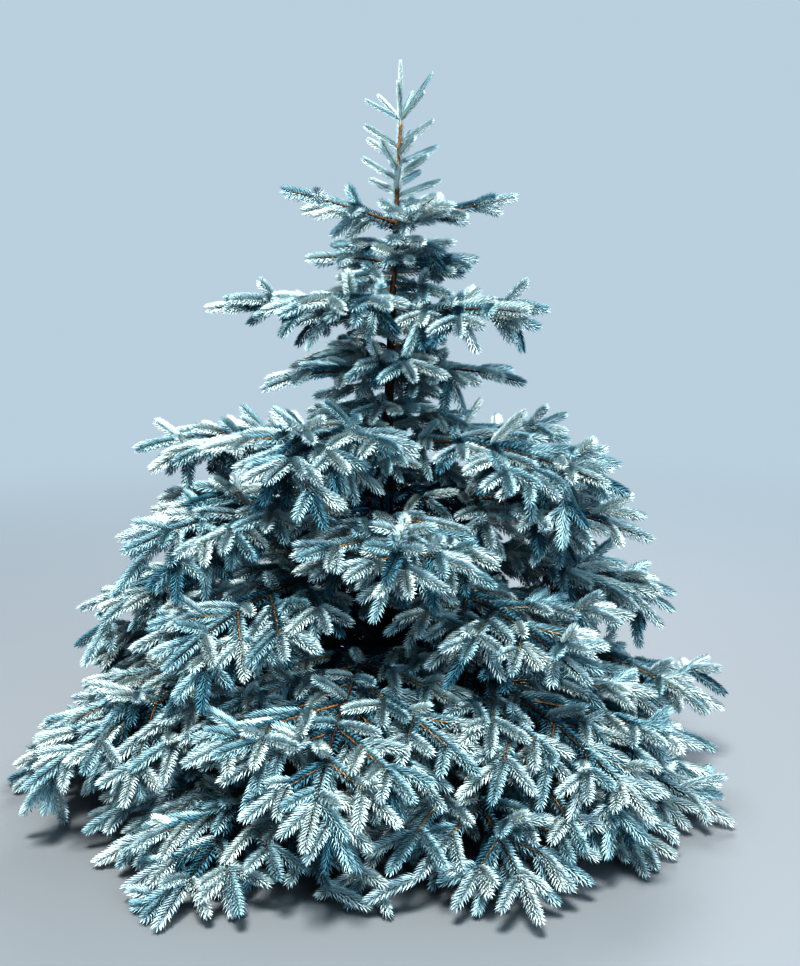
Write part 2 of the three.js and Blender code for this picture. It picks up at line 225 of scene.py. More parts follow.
def trunk_centre(z):
    lean = TRUNK_LEAN * (z / TRUNK_HEIGHT) ** TRUNK_LEAN_POWER
    return Vector((lean, TRUNK_BOW * math.sin(math.pi * z / TRUNK_HEIGHT), z))


def trunk_radius(z, angle=0.0):
    taper = max(0.0, 1 - z / TRUNK_HEIGHT) ** TRUNK_TAPER
    lobes = 1 + FLARE_LOBE_SHARE * math.cos(FLARE_LOBES * angle)
    flare = FLARE * math.exp(-z / FLARE_FADE) * lobes
    return TRUNK_TIP_RADIUS + (TRUNK_FOOT_RADIUS - TRUNK_TIP_RADIUS) * taper + flare


def limb_of(number, index):
    """The centre line and the seed of one limb of a tier, as the solids have them."""
    tier = TIERS[number]
    seed = number * 100 + index + 1
    dice = Dice(seed)
    azimuth = tier.turn + 360 * index / tier.count + dice.around(TURN_SPREAD)
    level = (tier.level + tier.vary * ((0.5 if index % 2 else -0.5) + dice.around(0.5))) * MM
    fade = 1 - level / TRUNK_HEIGHT
    skew = 1 + CROWN_SKEW * fade * math.cos(math.radians(azimuth - CROWN_SKEW_TOWARDS))
    reach = tier.reach * MM * skew * (1 + dice.around(REACH_SPREAD))
    slope = math.tan(math.radians(tier.rise + dice.around(RISE_SPREAD)))
    out = heading(azimuth, 0)
    centre = trunk_centre(level)
    distance = trunk_radius(level) + tier.radius * MM * slope
    half = (reach - distance) / 2
    start = centre + out * distance
    end = centre + out * reach
    end.z = max(level - tier.fall * MM, GROUND_GAP + SPRAY_DEPTH)
    return Arc(start, start + out * half + UP * (slope * half), end), seed


def year_count(length):
    return max(1, math.floor(length / YEAR + 0.5))


Twig = namedtuple("Twig", "root towards length seed")


def side_twigs(curve, length, first, seed):
    """The side twigs of a limb past a share of it: a pair at the end of each year's growth."""
    years = year_count(length)
    for year in range(1, years):
        if year / years < first:
            continue
        for hand in (-1, 1):
            t = year / years + hand * STAGGER / length
            own = child_seed(seed, year * 2 + (1 if hand > 0 else 0))
            dice = Dice(own)
            along = curve.along(t)
            side, over = across_of(along)
            angle = math.radians(LATERAL_ANGLE + dice.around(LATERAL_ANGLE_SPREAD))
            towards = along * math.cos(angle) + side * (hand * math.sin(angle))
            towards = (towards + over * dice.around(LATERAL_LIFT)).normalized()
            share = min(LATERAL_SHARE * (1 - t), SHADE_SHARE + SHADE_GAIN * t)
            reach = share * length * (1 + dice.around(LATERAL_LENGTH_SPREAD))
            yield Twig(curve.point(t), towards, reach, own)


# What the rule is carried on to: finer twigs and shoots that the solids' blades stand for
LONGEST_SHOOT = 150 * MM
SHORTEST_SHOOT = 55 * MM
TWIG_TIP_RADIUS = 1.2 * MM
FORK_RADIUS = TWIG_TIP_RADIUS * 1.2  # a finer shoot at its foot
TRUNK_SHOOT_RADIUS = TWIG_TIP_RADIUS * 1.8
LIMB_TIP_RADIUS = 1.7 * MM
LIMB_TAPER = 0.7
FORK_SEED = 500  # the finer shoots' dice are apart from those of the rule
FORK_SEEDS = 10  # how many seeds each fork has to itself
FORK_ANGLE = 50
FORK_ANGLE_SPREAD = 15
FORK_LENGTH_SPREAD = 0.28
FORK_BACK = 0.3  # how far before the end of a year a finer shoot may stand, as a share of the year
FIRST_FORK = 0.02  # share of a limb before which none stands
FORK_SIDE_SPREAD = 0.55
FORK_OVER_SPREAD = 0.4
FEWER_FORKS = 0.75  # the chance of a finer shoot on a side twig, against that on what it grew from
SECOND_HANGING = 0.6  # the chance of a second hanging shoot, against that of the first
WELL_LIT = 0.55  # how far out in the crown a shoot has its full vigour
SHADED = 0.72  # the vigour of one at the trunk
SHORT_LIMB = 550 * MM  # limbs of less reach carry short, level shoots
LONG_LIMB = 950 * MM  # and on limbs of more, all that grow below them hang
LEVEL_DROOP = 0.3
TRUNK_SHOOTS = 82  # small ones, between the tiers
TRUNK_SHOOT_SEED = 700
TRUNK_SHOOTS_FROM = 260 * MM
TRUNK_SHOOTS_TO = 1640 * MM
TRUNK_SHOOTS_UPWARDS = 0.75  # how much closer they stand further up: 1 is evenly
TRUNK_SHOOT_LENGTHS = (480, 150)  # millimetres, at the trunk's foot and at the highest of them
TRUNK_SHOOT_LENGTH_SPREAD = 0.25
TRUNK_SHOOT_RISE = 4
TRUNK_SHOOT_RISE_SPREAD = 16
INNER_FORKS = 0.1  # share of a limb where its first finer shoots stand
SWEEPING = "skirt"  # the tier whose side twigs grow on at their tips and close the gaps between its limbs
SWEEPING_LEAST = 260 * MM  # how long such a side twig is at least
SWEEP_SEED = 800
SWEEP_HANDS = (0, -1, 1)  # the shoots at its tip: straight on, and to each side
SWEEP_SIDE_SHORTER = 0.15
SWEEP_ORDER = 3
SWEEP_WITHIN = 0.93  # how far out they may reach, as a share of the tier's reach

LEADER = "leader"
ZONES = [tier.name for tier in TIERS] + [LEADER]
# A shoot of the leader: the radii of its wood, and the length of its needles as a share of a full one's
Stem = namedtuple("Stem", "root_radius tip_radius brush")
LEADING_STEM = Stem(4.2 * MM, 2 * MM, 0.45)
WHORL_STEM = Stem(2.6 * MM, 1.6 * MM, 0.53)
SIDE_STEM = Stem(2.4 * MM, 1.5 * MM, 0.68)
BARK_NEEDLES_BRUSH = 0.55
LEADING_TIP_BELOW = 4 * MM  # how far the wood of the leading shoot ends below the top of the solids
SUNK = 0.8  # how far out from the trunk's centre a shoot starts, as a share of the trunk's radius
# Stretches of the leader whose bark still carries needles, and the age of each: from, to, years
LEADER_BARK_NEEDLES = ((1850 * MM, 1995 * MM, 1), (1720 * MM, 1850 * MM, 2), (1540 * MM, 1720 * MM, 4))

# One year's growth of a twig. zone is its tier or the leader. age counts the years since it grew. brush is
# the length of its needles, as a share of the full one. out is how far out in the crown it is, and 1 on the
# leader. order is 0 on a limb, 1 on its side twigs and more on finer ones. under says that it hangs below.
Growth = namedtuple("Growth", "zone arc length root_radius tip_radius age brush out order under")

# A finer shoot at the end of a year's growth: its chance, its lean to the side and upwards, and its length
# as a share of a year's growth
Shoot = namedtuple("Shoot", "chance side over length")


def in_trunk(z, azimuth):
    """Where a shoot starts, just inside the trunk's bark."""
    return trunk_centre(z) + heading(azimuth, 0) * (trunk_radius(z) * SUNK)


# The chances of a shoot above a fork, of each shoot below it and of each shoot to its side
Chances = namedtuple("Chances", "rising hanging between")


class Plant:
    """All the growth of the tree, dealt out by year."""

    def __init__(self, chances):
        self.chances = chances
        self.growth = []

    def outness(self, place, tier):
        centre = trunk_centre(min(max(place.z, 0), TRUNK_HEIGHT))
        return min(1.0, math.hypot(place.x - centre.x, place.y - centre.y) / (tier.reach * MM))

    def vigour(self, place, tier):
        return mix(SHADED, 1, min(1.0, self.outness(place, tier) / WELL_LIT))

    def add(self, zone, curve, length, radii, age, brush, out, order, under=False):
        self.growth.append(Growth(zone, curve, length, *radii, age, brush, out, order, under))

    def grow(self, tier, curve, length, seed, order, radius, first=0, under=False):
        """Adds a twig year by year, its side twigs by the rule, and the finer shoots at its forks."""
        years = year_count(length)
        spans = max(years, math.ceil(length / LONGEST_SHOOT))
        tip_radius, taper = (TWIG_TIP_RADIUS, 1) if order else (LIMB_TIP_RADIUS, LIMB_TAPER)
        for span in range(spans):
            a, b = span / spans, (span + 1) / spans
            radii = mix(radius, tip_radius, a**taper), mix(radius, tip_radius, b**taper)
            age = spans - 1 - span
            year = curve.part(a, b)
            brush, out = self.vigour(year.point(0.5), tier), self.outness(year.point(0.5), tier)
            self.add(tier.name, year, length / spans, radii, age, brush, out, order, under)
        for twig in side_twigs(curve, length, first, seed):
            reached = min(twig.length, SPRAY_LENGTH) if order == 1 else twig.length
            line = arc(twig.root, twig.towards, reached, reached * LATERAL_SAG)
            thick = TWIG_TIP_RADIUS + reached / TWIG_TAPER
            self.grow(tier, line, reached, twig.seed, order + 1, thick, under=under)
        # the last fork of a short limb has its side twigs only
        forks = spans - 1 if order == 0 and tier.reach * MM <= SHORT_LIMB else spans
        for span in range(1, forks):
            if span / spans >= min(first, INNER_FORKS):
                self.fork(tier, curve, span, spans, seed, order, years < spans)
        if tier.name == SWEEPING and order == 1 and length > SWEEPING_LEAST:
            self.sweep(tier, curve, seed)

    def shoots_at(self, tier, order, paired):
        """The finer shoots that a fork may carry: above, below and to the sides, more on the limbs."""
        rising, hanging, between = self.chances
        reach = tier.reach * MM
        droop = -mix(LEVEL_DROOP, 1, min(1, max(0, (reach - SHORT_LIMB) / (LONG_LIMB - SHORT_LIMB))))
        if order == 0 and reach <= SHORT_LIMB:
            return (
                Shoot(rising, 0.1, 1, 0.62),
                Shoot(0.9, 1, droop, 0.85),
                Shoot(0.9, -1, droop, 0.85),
                Shoot(0.8, 1, 0.3, 0.8),
                Shoot(0.8, -1, 0.3, 0.8),
                Shoot(0.5, 0.2, -1, 0.6),
            )
        if order == 0:
            return (
                Shoot(rising, 0.1, 1, 1.0),
                Shoot(hanging, 0.8, droop, 1.45),
                Shoot(hanging, -0.8, droop, 1.45),
                Shoot(between, 1, 0.4, 0.85),
                Shoot(between, -1, 0.4, 0.85),
            )
        fewer = FEWER_FORKS**order
        pair = 1.0 if paired else between * fewer
        return (
            Shoot(rising * fewer, 0, 1, 0.62),
            Shoot(hanging * fewer, 0.5, droop, 0.85),
            Shoot(hanging * fewer * SECOND_HANGING, -0.5, droop, 0.8),
            Shoot(pair, 1, 0.1, 0.8),
            Shoot(pair, -1, 0.1, 0.8),
        )

    def sweep(self, tier, curve, seed):
        """Another year's growth at the tip of a side twig: straight on, with a shoot to each side."""
        along = curve.along(1)
        side, _ = across_of(along)
        for number, hand in enumerate(SWEEP_HANDS):
            own = child_seed(seed, SWEEP_SEED + number)
            dice = Dice(own)
            lean = math.radians(hand * LATERAL_ANGLE + dice.around(LATERAL_ANGLE_SPREAD))
            reached = YEAR * (1 - SWEEP_SIDE_SHORTER * abs(hand)) * (1 + dice.around(FORK_LENGTH_SPREAD))
            towards = along * math.cos(lean) + side * math.sin(lean)
            line = arc(curve.point(1), towards, reached, reached * LATERAL_SAG)
            if self.outness(line.tip, tier) < SWEEP_WITHIN:
                self.grow(tier, line, reached, own, SWEEP_ORDER, FORK_RADIUS)

    def fork(self, tier, curve, index, spans, seed, order, paired):
        """The finer shoots where a year ended. A long one grows on by the rule."""
        for number, shoot in enumerate(self.shoots_at(tier, order, paired)):
            own = child_seed(seed, FORK_SEED + index * FORK_SEEDS + number)
            dice = Dice(own)
            if dice.roll() > shoot.chance:
                continue
            t = max(FIRST_FORK, (index - abs(dice.around(FORK_BACK))) / spans)
            root = curve.point(t)
            along = curve.along(t)
            side, over = across_of(along)
            across = side * (shoot.side + dice.around(FORK_SIDE_SPREAD))
            across = across + over * (shoot.over + dice.around(FORK_OVER_SPREAD))
            angle = math.radians(FORK_ANGLE + dice.around(FORK_ANGLE_SPREAD))
            towards = (along * math.cos(angle) + across.normalized() * math.sin(angle)).normalized()
            reached = YEAR * shoot.length * self.vigour(root, tier) * (1 + dice.around(FORK_LENGTH_SPREAD))
            if reached < SHORTEST_SHOOT:
                continue
            line = arc(root, towards, reached, reached * LATERAL_SAG)
            self.grow(tier, line, reached, own, order + 2, FORK_RADIUS, under=shoot.over < 0)

    def grow_between(self):
        """Small shoots straight from the trunk between the tiers, longer where the crown is wider."""
        for number in range(TRUNK_SHOOTS):
            dice = Dice(TRUNK_SHOOT_SEED + number)
            share = ((number + dice.roll()) / TRUNK_SHOOTS) ** TRUNK_SHOOTS_UPWARDS
            z = mix(TRUNK_SHOOTS_FROM, TRUNK_SHOOTS_TO, share)
            tier = min(TIERS, key=lambda t: abs(t.level * MM - z))
            out = heading(number * GOLDEN_ANGLE, TRUNK_SHOOT_RISE + dice.around(TRUNK_SHOOT_RISE_SPREAD))
            root = in_trunk(z, number * GOLDEN_ANGLE)
            length = mix(*TRUNK_SHOOT_LENGTHS, z / TRUNK_SHOOTS_TO) * MM
            length = length * (1 + dice.around(TRUNK_SHOOT_LENGTH_SPREAD))
            line = arc(root, out, length, length * LATERAL_SAG)
            self.grow(tier, line, length, child_seed(TRUNK_SHOOT_SEED, number), 1, TRUNK_SHOOT_RADIUS)

    def grow_leader(self):
        """The leading shoot, the whorl round its foot, and the side shoots down the leader."""
        foot = trunk_centre(TRUNK_HEIGHT)
        top = Vector((foot.x, foot.y, TREE_HEIGHT - LEADING_TIP_BELOW))
        self.add_stem(Arc(foot, (foot + top) / 2, top), (top - foot).length, LEADING_STEM)
        root = Vector((foot.x, foot.y, WHORL_FOOT))
        for azimuth, rise, length in WHORL:
            self.add_stem(arc(root, heading(azimuth, rise), length * MM, 0), length * MM, WHORL_STEM)
        dice = Dice(SLEEVE_SEED)
        for i in range(SLEEVE_SHOOTS):
            share = (i + 0.5) / SLEEVE_SHOOTS
            z = mix(SLEEVE_FROM + SLEEVE_MARGIN, SLEEVE_TO - SLEEVE_MARGIN, share)
            out = heading(i * GOLDEN_ANGLE, SIDE_SHOOT_RISE + dice.around(SIDE_SHOOT_RISE_SPREAD))
            start = in_trunk(z, i * GOLDEN_ANGLE)
            length = SIDE_SHOOT_LENGTH * (1 + dice.around(SIDE_SHOOT_LENGTH_SPREAD))
            dice.roll()  # the solids' rule throws once more for each of these shoots
            self.add_stem(arc(start, out, length, 0), length, SIDE_STEM)
        for low, high, age in LEADER_BARK_NEEDLES:
            ends = trunk_centre(low), trunk_centre(high)
            radii = trunk_radius(low), trunk_radius(high)
            line = Arc(ends[0], (ends[0] + ends[1]) / 2, ends[1])
            self.add(LEADER, line, high - low, radii, age, BARK_NEEDLES_BRUSH, out=1, order=0)

    def add_stem(self, curve, length, stem):
        """One of this year's shoots of the leader."""
        radii = stem.root_radius, stem.tip_radius
        self.add(LEADER, curve, length, radii, age=0, brush=stem.brush, out=1, order=2)


@lru_cache(maxsize=1)
def limbs():
    """(tier, centre line, seed) of every limb."""
    return [(tier, *limb_of(number, i)) for number, tier in enumerate(TIERS) for i in range(tier.count)]


@lru_cache(maxsize=1)
def grown_with(chances):
    """All the growth of the tree, which is kept until the chances change."""
    grown = Plant(chances)
    for tier, curve, seed in limbs():
        grown.grow(tier, curve, curve.length(), seed, 0, tier.radius * MM, first=INNERMOST)
    grown.grow_between()
    grown.grow_leader()
    return grown.growth


def plant():
    settings = bpy.context.scene.spruce_growth
    return grown_with(Chances(settings.rising, settings.hanging, settings.between))


def nodes_of(zone, *kinds):
    """The names of the solids of one zone that a piece stands for."""
    heads = ("leader_", "tip_") if zone == LEADER else (zone + "_",)
    return [n for n in sorted(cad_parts) if n.startswith(heads) and n.rsplit("_", 1)[-1] in kinds]


# Meshes


def add_object(name, data):
    made = bpy.data.objects.new(name, data)
    bpy.context.scene.collection.objects.link(made)
    return made


def add_piece(name, mesh, material, replaced):
    """Adds a mesh as a piece of the tree that rides on its one body and stands for the solids named."""
    piece = add_object(name, mesh)
    mesh.materials.append(material)
    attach(piece, "root")
    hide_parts(*replaced)


def mesh_from(name, points, faces):
    """One joined mesh from an array of points and an array of triangles or quads."""
    mesh = bpy.data.meshes.new(name)
    corners = faces.shape[1]
    mesh.vertices.add(len(points))
    mesh.vertices.foreach_set("co", np.ascontiguousarray(points, dtype=np.float32).ravel())
    mesh.loops.add(faces.size)
    mesh.loops.foreach_set("vertex_index", np.ascontiguousarray(faces, dtype=np.int32).ravel())
    mesh.polygons.add(len(faces))
    mesh.polygons.foreach_set("loop_start", np.arange(0, faces.size, corners, dtype=np.int32))
    mesh.update(calc_edges=True)
    return mesh


LEAST_LENGTH = 1e-9  # what a vector of no length is divided by


def unit(vectors):
    return vectors / np.maximum(np.linalg.norm(vectors, axis=-1, keepdims=True), LEAST_LENGTH)


def curves_of(growth):
    """The three control points of each stretch of growth, as arrays."""
    return [np.array([getattr(g.arc, part)[:] for g in growth]) for part in ("root", "bend", "tip")]


def place_on(curves, t):
    """Points and directions on curves at shares t."""
    root, bend, tip = curves
    t = t[:, None]
    return on_curve(root, bend, tip, t), unit((bend - root) * (1 - t) + (tip - bend) * t)


def frames_across(along):
    """Side and upward directions across each direction, as arrays."""
    steep = np.abs(along[:, 2:3]) > STEEP
    side = unit(np.cross(along, np.where(steep, NORTH, UP)))
    return side, np.cross(side, along)


def spokes_across(along, sides):
    """Directions to the corners of a ring of so many sides across each direction, as arrays."""
    side, over = frames_across(along)
    turn = np.arange(sides) * (2 * math.pi / sides)
    return side[:, None] * np.cos(turn)[None, :, None] + over[:, None] * np.sin(turn)[None, :, None]


def repeated(faces, count, points):
    """The same faces over and over, for so many shapes of so many points each."""
    offsets = np.arange(count) * points
    return (faces[None] + offsets[:, None, None]).reshape(-1, faces.shape[1])


STEM_SIDES = 4
OLD_STEM_SIDES = 5
SHOOT_STEPS, TWIG_STEPS = 1, 2  # how many straight stretches a year's growth is made of


def tubes(growth, sides, steps):
    """Points and quads of a tapering tube along each stretch of growth."""
    curves = curves_of(growth)
    radii = np.array([(g.root_radius, g.tip_radius) for g in growth])
    rings = []
    for step in range(steps + 1):
        share = np.full(len(growth), step / steps)
        centre, along = place_on(curves, share)
        radius = mix(radii[:, 0], radii[:, 1], step / steps)[:, None, None]
        rings.append(centre[:, None] + spokes_across(along, sides) * radius)
    points = np.stack(rings, axis=1).reshape(-1, 3)
    ring, corner = np.meshgrid(np.arange(steps), np.arange(sides), indexing="ij")
    after = (corner + 1) % sides
    low, high = ring * sides, (ring + 1) * sides
    quads = np.stack([low + corner, low + after, high + after, high + corner], axis=-1)
    return points, repeated(quads.reshape(-1, 4), len(growth), sides * (steps + 1))


BUD_SCALES_LENGTH = 7 * MM
BUD_SCALES_RADIUS = 3.6 * MM
BUD_SCALES_SIDES = 5
BUD_SCALES_RIM = 0.45  # share of their length at which they are widest
BUD_SCALES_BACK = 0.3  # how far they reach back from the shoot's foot, as a share of their length


def scale_cups(growth):
    """Points and triangles of bud scales round the foot of each shoot: a short closed double cone."""
    length, sides = BUD_SCALES_LENGTH, BUD_SCALES_SIDES
    foot, along = place_on(curves_of(growth), np.zeros(len(growth)))
    spokes = spokes_across(along, sides)
    rim = foot[:, None] + spokes * BUD_SCALES_RADIUS + along[:, None] * (length * BUD_SCALES_RIM)
    ends = np.stack([foot - along * (length * BUD_SCALES_BACK), foot + along * length], axis=1)
    points = np.concatenate([rim, ends], axis=1).reshape(-1, 3)
    corner = np.arange(sides)
    after = (corner + 1) % sides
    low, high = np.full(sides, sides), np.full(sides, sides + 1)
    below, above = np.stack([low, after, corner], axis=-1), np.stack([high, corner, after], axis=-1)
    return points, repeated(np.concatenate([below, above]), len(growth), sides + 2)


# Needles by the age of the wood that carries them: how many to a metre, as a share of those on young wood,
# their angle from it in degrees, and their length, as a share of a young one's
Foliage = namedtuple("Foliage", "per_metre angle length")
FOLIAGE_BY_AGE = (
    Foliage(1.0, 60, 1.0),
    Foliage(0.8, 62, 1.0),
    Foliage(0.62, 66, 0.95),
    Foliage(0.45, 70, 0.9),
    Foliage(0.3, 74, 0.85),
    Foliage(0.18, 76, 0.8),
)
# How far out in each tier the crown's own shade reaches: needles within it take the dark shade tint, which
# is painted shade
DEEP_SHADE = {"skirt": 0.3, "low": 0.32, "middle": 0.28, "high": 0.24, "shoulder": 0.08}
LOWEST_NEEDLE = 1.5 * MM
WIDEST_AT = 0.5  # share of a needle's length
CROWDED = 0.3  # how much closer needles stand on the upper side of a twig
COMBED = 0.4  # how much further forward they lie there
TIP_CLOSING = 0.55  # how far the needles at a shoot's tip close round its bud
TIP_SHORTER = 0.3  # how much shorter they are there
TIP_STRETCH = 9  # how near to the tip they do so
NEEDLE_CURL = 0.14
SLENDER, FULL = 0.5, 0.7  # the brush of a shoot whose needles lie close, and of one whose needles spread
LEAST_SPREAD = 0.6  # how far the needles of a slender shoot spread, as a share of a full one's angle
UPPER_LONGER = 0.06
NEEDLE_SUNK = 0.7  # share of a twig's radius where its needles' feet are
TURN_SCATTER = 0.08
LEAN_SCATTER = 0.05
LENGTH_SCATTER = 0.04
WIDTH_SCATTER = 0.1
COARSE_IN_SHADE = 1.5  # how much wider and fewer the needles are in the crown's own shade
COARSE_ON_LEADER = 0.75  # and on the leader, where they show against the sky
SEEDS_PER_ZONE = 10
# The needles' tints: the name of each one's material, and how rough its wax is
TINTS = {
    "frost": ("frosted_needles", 0.5),
    "silver": ("silver_blue_needles", 0.5),
    "blue": ("blue_needles", 0.52),
    "old": ("old_needles", 0.58),
    # the shade tint's material: dark needles that are painted shade
    "shade": ("painted_shade_needles", 0.62),
}
# How they are dealt out among shoots of each kind: each tint goes up to a share of one throw
TINTS_OF = {
    "leader": (("blue", 0.5), ("silver", 1)),
    "last_year": (("blue", 0.7), ("old", 1)),
    # hanging shoots take more of the darker old and blue tints: painted shade under the crown's layers
    "hanging": (("old", 0.42), ("blue", 0.86), ("silver", 1)),
    "outer": (("frost", 0.32), ("silver", 0.72), ("blue", 1)),
}
SHADE_EDGE = 0.4  # how unevenly the painted shade ends, as a share of its reach


def foliage_of(growth):
    return FOLIAGE_BY_AGE[min(growth.age, len(FOLIAGE_BY_AGE) - 1)]


def needle_mesh(name, growth, settings, coarse, seed):
    """All the needles of some shoots: each is two faces folded along its keel, on a spiral round the twig.
    Where they are coarse, they are fewer and wider."""
    random = np.random.default_rng(seed)
    foliage = [foliage_of(g) for g in growth]
    wanted = [g.length * settings.per_metre * f.per_metre / coarse for g, f in zip(growth, foliage)]
    counts = np.array([round(needles) for needles in wanted])
    which = np.repeat(np.arange(len(growth)), counts)

    def each(values):
        """One value of each stretch of growth, repeated for its needles."""
        return np.array(values)[which]

    number = np.arange(len(which)) - np.repeat(np.cumsum(counts) - counts, counts)
    total = len(which)
    t = np.clip((number + random.uniform(0, 1, total)) / counts[which], 0, 1)
    age = each([g.age for g in growth])
    brush = each([g.brush for g in growth])
    radius = mix(each([g.root_radius for g in growth]), each([g.tip_radius for g in growth]), t)
    angle = np.radians(each([f.angle for f in foliage]))
    length = settings.length * brush * each([f.length for f in foliage])
    centre, along = place_on([part[which] for part in curves_of(growth)], t)
    side, over = frames_across(along)
    turn = np.radians(number * GOLDEN_ANGLE) + random.normal(0, TURN_SCATTER, total)
    turn = turn + CROWDED * np.cos(turn)
    spoke = side * np.cos(turn)[:, None] + over * np.sin(turn)[:, None]
    near_bud = np.where(age == 0, t**TIP_STRETCH, 0)
    spread = mix(LEAST_SPREAD, 1, np.clip((brush - SLENDER) / (FULL - SLENDER), 0, 1))
    combed = COMBED * np.maximum(0, np.sin(turn))
    closing = 1 - TIP_CLOSING * near_bud * spread
    lean = angle * spread * closing * (1 - combed) * random.normal(1, LEAN_SCATTER, total)
    level = 1 - np.abs(along[:, 2:3])
    towards = spoke * np.sin(lean)[:, None] + along * np.cos(lean)[:, None]
    towards = unit(towards + np.array(UP) * (settings.lift * level))
    length = length * (1 + UPPER_LONGER * np.sin(turn)) * (1 - TIP_SHORTER * near_bud)
    length = (length * random.normal(1, LENGTH_SCATTER, total))[:, None]
    foot = centre + spoke * (radius * NEEDLE_SUNK)[:, None]
    keel = unit(spoke - towards * np.sum(spoke * towards, axis=1, keepdims=True))
    flat = np.cross(keel, towards)
    width = settings.width * coarse * random.normal(1, WIDTH_SCATTER, total)[:, None]
    width = width * np.sqrt(brush)[:, None]
    middle = foot + towards * (length * WIDEST_AT)
    tip = foot + towards * length + along * (length * NEEDLE_CURL)
    points = np.stack([foot, middle + flat * width, tip, middle + keel * width], axis=1)
    points[..., 2] = np.maximum(points[..., 2], LOWEST_NEEDLE)
    first = (np.arange(total) * 4)[:, None]
    faces = np.concatenate([first + np.array([0, 1, 2]), first + np.array([0, 2, 3])])
    return mesh_from(name, points.reshape(-1, 3), faces)


# Bark


BARK_LENGTHWISE = 0.55  # the scales' width as a share of their height
CRACK_STEEPNESS = 2.6
CRACK_DEPTH = 0.6  # how deep the cracks lie, as a share of the relief
ROUGHNESS_DEPTH = 0.35  # that of the roughness on the scales
ROUGHNESS_FINER = 2.7
TRUNK_SIDES = 40
TRUNK_RINGS = 300
TRUNK_RINGS_LOWER = 1.15  # how much closer the rings lie near the ground: 1 is evenly
YOUNG_TRUNK = (1.6, 1.95)  # where the trunk's bark turns to that of the leader, in metres
YOUNG_LIMB = (1.2, 1.85)  # and where the limbs' bark does
TRUNK_GRAIN = 1.2 * MM
LIMB_GRAIN = 0.6 * MM
LIMB_SIDES = 8
LIMB_RING = 14 * MM
LEAST_LIMB_RINGS = 6
LIMB_END = 0.97  # share of a limb where its bark ends, inside the last shoot
LIMB_SUNK = 0.5  # how deep its root sits in the trunk, as a share of the trunk's radius
LIMB_PLATE = 0.5  # the scales on a limb, as a share of those on the trunk
LIMB_RELIEF = 0.07  # share of its radius
COLLAR = 0.35  # how much a limb swells at the trunk, as a share of its radius
COLLAR_FADE = 22 * MM


def bark_relief(place, size, depth):
    """How far the bark stands out at a place: flat scales between cracks, and finer roughness on them."""
    stretched = Vector((place.x, place.y, place.z * BARK_LENGTHWISE)) / size
    near, next_near = noise.voronoi(stretched)[0][:2]
    plate = min(1.0, (next_near - near) * CRACK_STEEPNESS)
    return depth * (plate - CRACK_DEPTH + ROUGHNESS_DEPTH * noise.noise(stretched * ROUGHNESS_FINER))


def bark_tube(centre_of, across, radius_of, sides, rings, share_of):
    """A closed tube: an upright cone, cut into rings, whose points are moved on to a centre line."""
    bm = bmesh.new()
    bmesh.ops.create_cone(bm, cap_ends=True, segments=sides, radius1=1, radius2=1, depth=1)
    upright = [e for e in bm.edges if abs(e.verts[0].co.z - e.verts[1].co.z) > 0.5]
    bmesh.ops.subdivide_edges(bm, edges=upright, cuts=rings - 1, use_grid_fill=True)
    for point in bm.verts:
        t = share_of(min(1.0, max(0.0, point.co.z + 0.5)))
        angle = math.atan2(point.co.y, point.co.x)
        side, over = across(t)
        spoke = side * math.cos(angle) + over * math.sin(angle)
        centre = centre_of(t)
        point.co = centre + spoke * radius_of(t, angle, centre + spoke * TRUNK_FOOT_RADIUS)
    return bm


def joined_mesh(name, tubes_made):
    """One smooth mesh of several closed tubes, with its faces turned outwards."""
    whole = bmesh.new()
    part = bpy.data.meshes.new(name + "_part")
    for bm in tubes_made:
        bm.to_mesh(part)
        bm.free()
        whole.from_mesh(part)
    bpy.data.meshes.remove(part)
    bmesh.ops.recalc_face_normals(whole, faces=whole.faces)
    mesh = bpy.data.meshes.new(name)
    whole.to_mesh(mesh)
    whole.free()
    mesh.shade_smooth()
    return mesh


# Materials


def add_node(material, kind, inputs=None, links=None, **settings):
    """Adds a node with its settings, its sockets' values and the (node, output) pairs that feed them."""
    tree = material.node_tree
    node = tree.nodes.new(kind)
    for name, value in settings.items():
        setattr(node, name, value)
    for name, value in (inputs or {}).items():
        node.inputs[name].default_value = value
    for name, (source, output) in (links or {}).items():
        tree.links.new(source.outputs[output], node.inputs[name])
    return node


MIX_SHARE, MIX_A, MIX_B, MIX_OUT = 0, 6, 7, 2  # the sockets of a Mix node of colours
BLOOM_PATCH = 90 * MM  # patches of thicker and thinner bloom, a little shorter than a shoot
PEG = 3 * MM  # real pegs are about 1 mm apart, too fine to show, so these are drawn coarser
PEG_HEIGHT = 0.6 * MM
TRUNK_PATTERN = 0.7  # the size of the painted scales, as a share of those that stand out
LIMB_PATTERN = 0.4
GRAIN_FINER = 3
WEATHERED = "#8d867c"


def new_material(name, **sockets):
    material = bpy.data.materials.new(name)
    material.use_nodes = True
    shader = material.node_tree.nodes["Principled BSDF"]
    for socket, value in sockets.items():
        shader.inputs[socket.replace("_", " ")].default_value = value
    return material, shader


def feed(material, shader, **links):
    for socket, (source, output) in links.items():
        material.node_tree.links.new(source.outputs[output], shader.inputs[socket.replace("_", " ")])


def waxy_needle(name, colour, bloom, roughness):
    """Spruce needle: a hard green blade under a bloom of pale wax, which is rubbed thin here and there."""
    material, shader = new_material(name, Roughness=roughness, Specular_IOR_Level=0.25)
    coords = add_node(material, "ShaderNodeTexCoord")
    scale = {"Scale": 1 / BLOOM_PATCH, "Detail": 2.0}
    patches = add_node(material, "ShaderNodeTexNoise", scale, {"Vector": (coords, "Object")})
    band = {"From Min": 0.35, "From Max": 0.65}
    waxed = add_node(material, "ShaderNodeMapRange", band, {"Value": (patches, "Fac")})
    ends = {MIX_A: (*colour, 1), MIX_B: (*bloom, 1)}
    colours = add_node(material, "ShaderNodeMix", ends, {MIX_SHARE: (waxed, "Result")}, data_type="RGBA")
    feed(material, shader, Base_Color=(colours, MIX_OUT))
    return material


